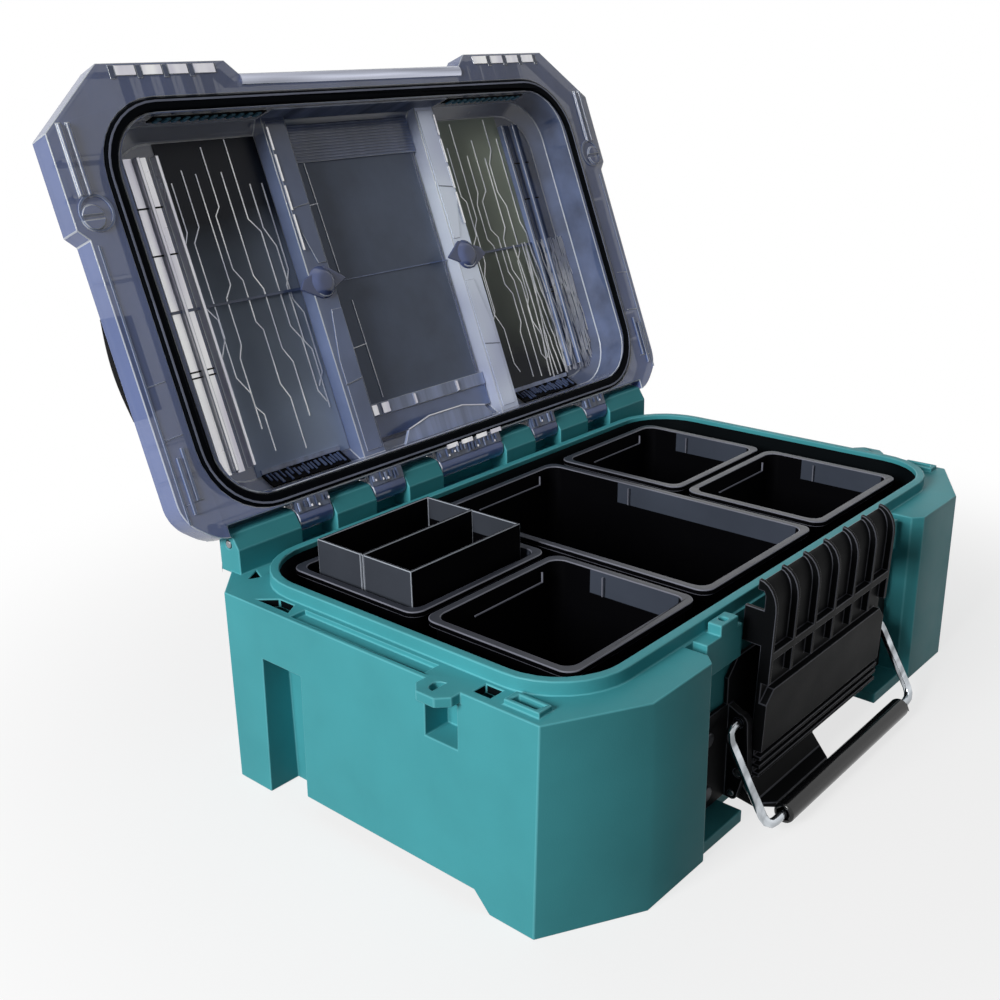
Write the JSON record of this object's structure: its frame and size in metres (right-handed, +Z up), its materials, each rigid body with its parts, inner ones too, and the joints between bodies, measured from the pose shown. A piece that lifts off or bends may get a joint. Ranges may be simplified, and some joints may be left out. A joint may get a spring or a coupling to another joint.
{
  "type": "tool organizer case",
  "caption": "Portable organizer case with a clear hinged lid, ribbed front latch, wire bail handle, lift-out bins and a divided insert tray, shown open.",
  "frame": {"origin": "centre of the case body on its flat underside, halfway between the side walls and between the front pillars' face and the rear wall", "axes": "+X along the hinge, left to right as seen from the front; +Y to the rear, towards the hinge; +Z up"},
  "size_m": [0.4, 0.3459, 0.3329],
  "materials": {
    "teal_plastic": "fine satin texture, slightly lighter on edges",
    "black_plastic": "satin black",
    "bin_black": "satin black with worn grey rims",
    "seal_rubber": "dull black",
    "smoky_clear": "glossy smoky bluish clear plastic",
    "frosted_plastic": "frosted",
    "bail_chrome": "bright plated wire",
    "grip_black": "glossy black sleeve",
    "pin_steel": "plain steel"
  },
  "bodies": {
    "base": {"case_body": "teal_plastic", "hinge_pin": "pin_steel", "latch_bracket": "black_plastic", "bracket_screw_1": "pin_steel", "bracket_screw_2": "pin_steel", "bracket_screw_3": "pin_steel", "bracket_screw_4": "pin_steel", "latch_pin": "pin_steel", "lever_pin": "pin_steel"},
    "lid": {"lid_shell": "smoky_clear", "lid_seal": "seal_rubber", "lid_window_plate": "frosted_plastic", "lid_cleat_left": "black_plastic", "lid_cleat_right": "black_plastic"},
    "front_latch": {"latch": "black_plastic"},
    "bail": {"bail_wire": "bail_chrome", "bail_grip": "grip_black"},
    "lever": {"stack_lever": "black_plastic"},
    "center_bin": {"bin_center": "bin_black"},
    "left_front_bin": {"bin_left_front": "bin_black"},
    "left_rear_bin": {"bin_left_rear": "bin_black"},
    "right_front_bin": {"bin_right_front": "bin_black"},
    "right_rear_bin": {"bin_right_rear": "bin_black"},
    "tray": {"insert_tray": "bin_black"},
    "divider": {"tray_divider": "bin_black"}
  },
  "joints": [
    {"name": "lid_hinge", "type": "hinge", "parent": "base", "child": "lid", "pos_m": [0, 0.1132, 0.1114], "axis": [-1, 0, 0], "range_deg": [-110.6, 0]},
    {"name": "latch_swing", "type": "hinge", "parent": "base", "child": "front_latch", "pos_m": [0, -0.113, 0.022], "axis": [1, 0, 0], "range_deg": [-2.5, 85]},
    {"name": "bail_swing", "type": "hinge", "parent": "base", "child": "bail", "pos_m": [0, -0.112, 0.048], "axis": [-1, 0, 0], "range_deg": [0, 95]},
    {"name": "lever_lift", "type": "hinge", "parent": "base", "child": "lever", "pos_m": [0, -0.11, 0.01], "axis": [-1, 0, 0], "range_deg": [0, 15]},
    {"name": "center_bin_lift", "type": "slide", "parent": "base", "child": "center_bin", "axis": [0, 0, 1], "range_m": [0, 0.12]},
    {"name": "left_front_bin_lift", "type": "slide", "parent": "base", "child": "left_front_bin", "axis": [0, 0, 1], "range_m": [0, 0.12]},
    {"name": "left_rear_bin_lift", "type": "slide", "parent": "base", "child": "left_rear_bin", "axis": [0, 0, 1], "range_m": [0, 0.12]},
    {"name": "right_front_bin_lift", "type": "slide", "parent": "base", "child": "right_front_bin", "axis": [0, 0, 1], "range_m": [0, 0.12]},
    {"name": "right_rear_bin_lift", "type": "slide", "parent": "base", "child": "right_rear_bin", "axis": [0, 0, 1], "range_m": [0, 0.12]},
    {"name": "tray_lift", "type": "slide", "parent": "left_rear_bin", "child": "tray", "axis": [0, 0, 1], "range_m": [0, 0.12]},
    {"name": "divider_lift", "type": "slide", "parent": "tray", "child": "divider", "axis": [0, 0, 1], "range_m": [0, 0.115]}
  ]
}
